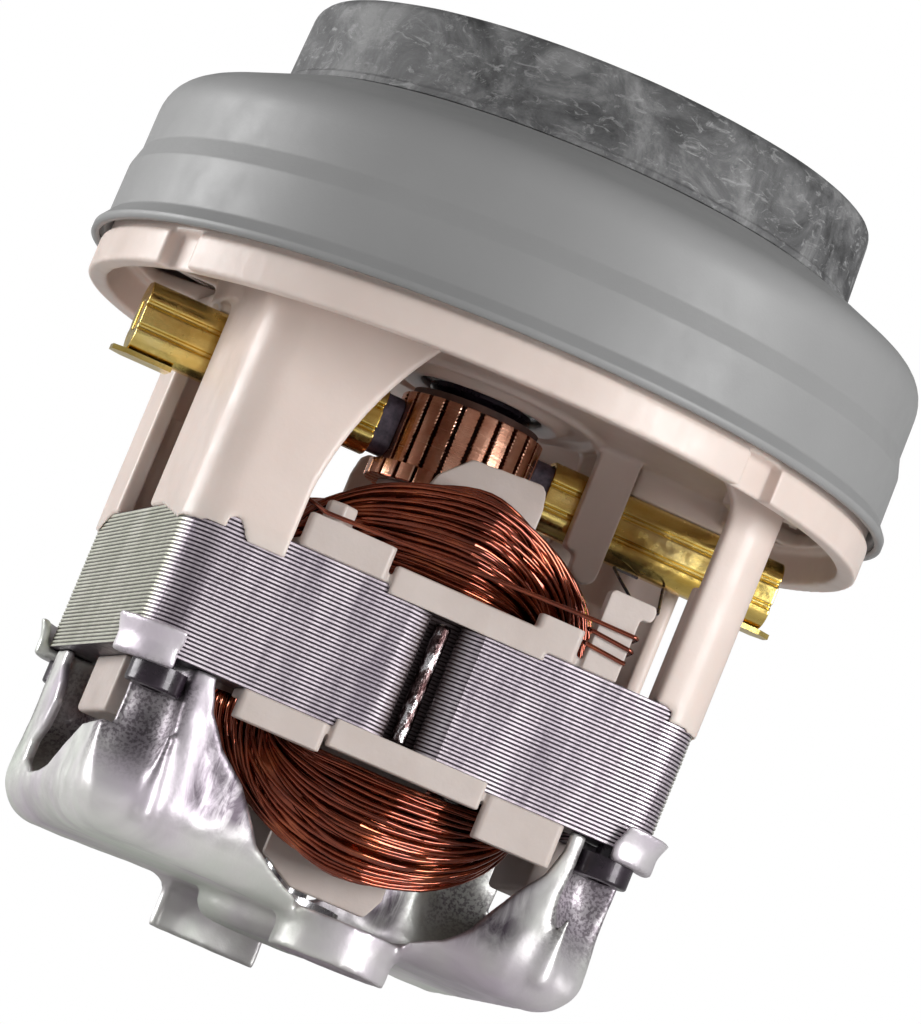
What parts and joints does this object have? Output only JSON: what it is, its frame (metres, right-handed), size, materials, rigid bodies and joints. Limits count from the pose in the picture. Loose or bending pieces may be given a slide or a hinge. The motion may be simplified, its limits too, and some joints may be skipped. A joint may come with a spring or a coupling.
{
  "type": "vacuum cleaner motor unit",
  "caption": "Vacuum cleaner motor unit: universal motor with carbon brushes under a radial fan in a round grey cover with a rubber inlet seal.",
  "frame": {"origin": "on the shaft axis, level with the lower edge of the bracket's stiffening wall", "axes": "+Z along the shaft towards the fan and inlet seal, -Y towards the coil shown in the picture, X along the brush axis"},
  "size_m": [0.1302, 0.1302, 0.1393],
  "materials": {
    "lamination_steel": "satin",
    "bright_pin": "polished",
    "slot_paper": "matte",
    "plated_sheet": "glossy plated",
    "black_screw": "oiled black",
    "white_housing": "satin",
    "white_nylon": "satin",
    "copper_wire": "enamelled, glossy",
    "brass": "polished",
    "dark_wire": "satin",
    "spring_steel": "satin",
    "carbon": "matte",
    "bearing_steel": "polished",
    "bearing_seal": "satin",
    "shaft_steel": "ground",
    "commutator_copper": "turned",
    "phenolic": "matte",
    "slinger_black": "glossy",
    "fan_aluminium": "satin",
    "diffuser_plastic": "matte",
    "zinc_screw": "zinc plated",
    "cover_grey": "satin",
    "seal_rubber": "matte, chalky"
  },
  "bodies": {
    "frame": {"stator_stack": "lamination_steel", "stack_pins": "bright_pin", "slot_liners": "slot_paper", "bottom_bracket": "plated_sheet", "bracket_screws": "black_screw", "motor_housing": "white_housing", "lead_guides": "white_nylon", "front_coil_core": "copper_wire", "rear_coil_core": "copper_wire", "front_coil_wire": "copper_wire", "rear_coil_wire": "copper_wire", "front_upper_frame": "white_nylon", "rear_upper_frame": "white_nylon", "front_lower_frame": "white_nylon", "rear_lower_frame": "white_nylon", "front_lead": "copper_wire", "rear_lead": "copper_wire", "right_brush_tube": "brass", "left_brush_tube": "brass", "right_brush_terminal": "brass", "left_brush_terminal": "brass", "right_brush_spring": "spring_steel", "left_brush_spring": "spring_steel", "right_contact_clip": "dark_wire", "left_contact_clip": "dark_wire", "upper_bearing_outer_ring": "bearing_steel", "upper_bearing_shields": "bearing_seal", "upper_bearing_balls": "bearing_steel", "lower_bearing_outer_ring": "bearing_steel", "lower_bearing_shields": "bearing_seal", "lower_bearing_balls": "bearing_steel", "diffuser": "diffuser_plastic", "diffuser_screws": "zinc_screw", "fan_cover": "cover_grey", "inlet_seal": "seal_rubber"},
    "rotor": {"rotor_shaft": "shaft_steel", "armature_core": "lamination_steel", "armature_winding": "copper_wire", "commutator_bars": "commutator_copper", "commutator_hub": "phenolic", "slinger_washer": "slinger_black", "fan_spacer": "shaft_steel", "upper_bearing_inner_ring": "bearing_steel", "lower_bearing_inner_ring": "bearing_steel", "impeller_back_disc": "fan_aluminium", "impeller_blades": "fan_aluminium", "impeller_front_disc": "fan_aluminium", "fan_washer": "shaft_steel", "fan_nut": "shaft_steel"},
    "right_brush": {"right_brush": "carbon"},
    "left_brush": {"left_brush": "carbon"}
  },
  "joints": [
    {"name": "rotor_spin", "type": "hinge", "parent": "frame", "child": "rotor", "pos_m": [0, 0, 0], "axis": [0, 0, 1], "continuous": true},
    {"name": "right_brush_slide", "type": "slide", "parent": "frame", "child": "right_brush", "axis": [1, 0, 0], "range_m": [0, 0.006], "stiffness_N_per_m": 60, "springref_m": -0.03, "deforming": ["right_brush_spring"]},
    {"name": "left_brush_slide", "type": "slide", "parent": "frame", "child": "left_brush", "axis": [-1, 0, 0], "range_m": [0, 0.006], "stiffness_N_per_m": 60, "springref_m": -0.03, "deforming": ["left_brush_spring"]}
  ]
}
